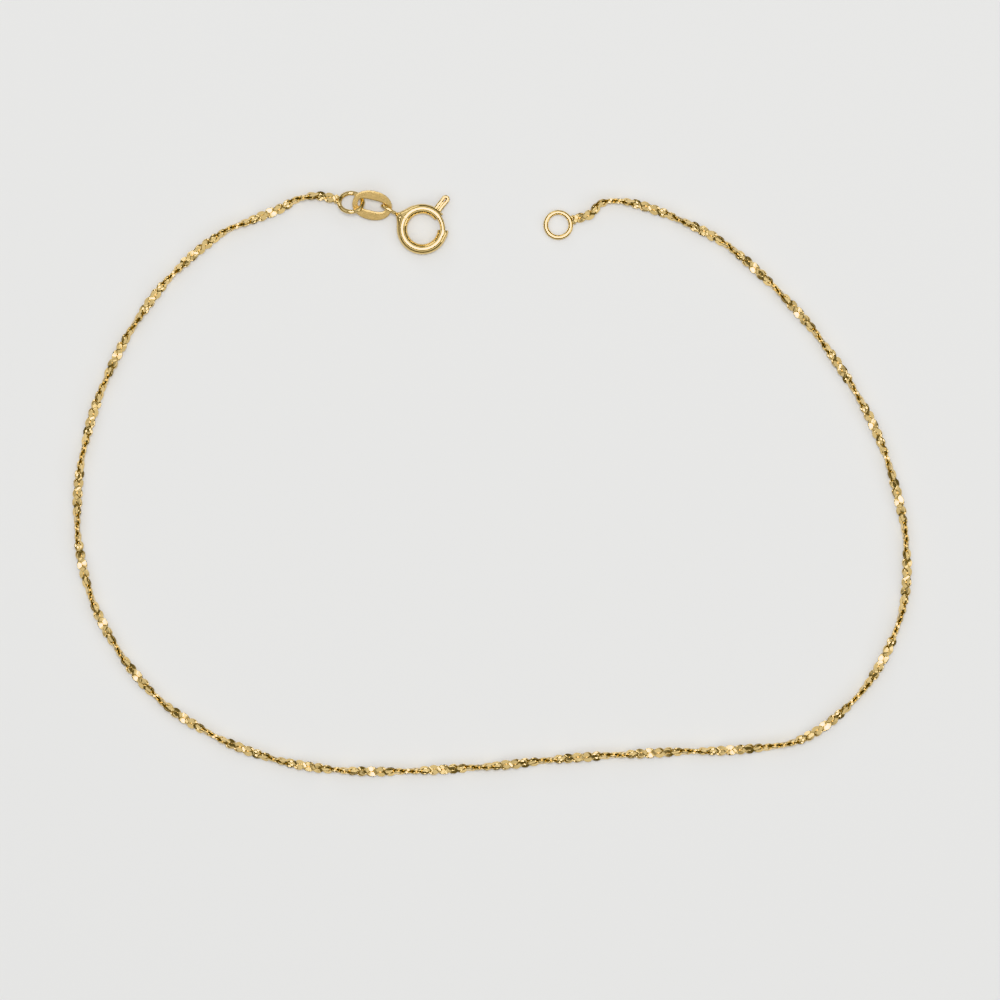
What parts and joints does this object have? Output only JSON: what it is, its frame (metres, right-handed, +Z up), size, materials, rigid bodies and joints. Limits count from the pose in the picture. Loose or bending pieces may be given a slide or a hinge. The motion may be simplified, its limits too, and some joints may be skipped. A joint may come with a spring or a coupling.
{
  "type": "chain bracelet",
  "caption": "Slim twisted serpentine chain bracelet with a spring ring clasp, a flat oval link and a catch ring, lying open.",
  "frame": {"origin": "middle of the bracelet's outline where it lies, on the surface that it rests on", "axes": "+X along the bracelet's long side, from the clasp's side of the open end towards the catch ring's side; +Y towards the clasp; +Z up from the surface"},
  "size_m": [0.0797, 0.0556, 0.0017],
  "materials": {
    "chain_gold": "polished yellow gold links with darker hollows between them",
    "ring_gold": "polished yellow gold wire",
    "satin_gold": "satin yellow gold with fine brushed lines along the link",
    "clasp_gold": "polished yellow gold tube"
  },
  "bodies": {
    "bracelet": {"chain": "chain_gold", "end_ring": "ring_gold", "oval_link": "satin_gold", "clasp_ring": "clasp_gold", "catch_ring": "ring_gold"},
    "bolt": {"clasp_bolt": "clasp_gold"}
  },
  "joints": [
    {"name": "bolt_draw", "type": "hinge", "parent": "bracelet", "child": "bolt", "pos_m": [-0.00665, 0.02425, 0.00049], "axis": [0, 0, 1], "range_deg": [0, 47], "stiffness_Nm_per_rad": 0.001}
  ]
}
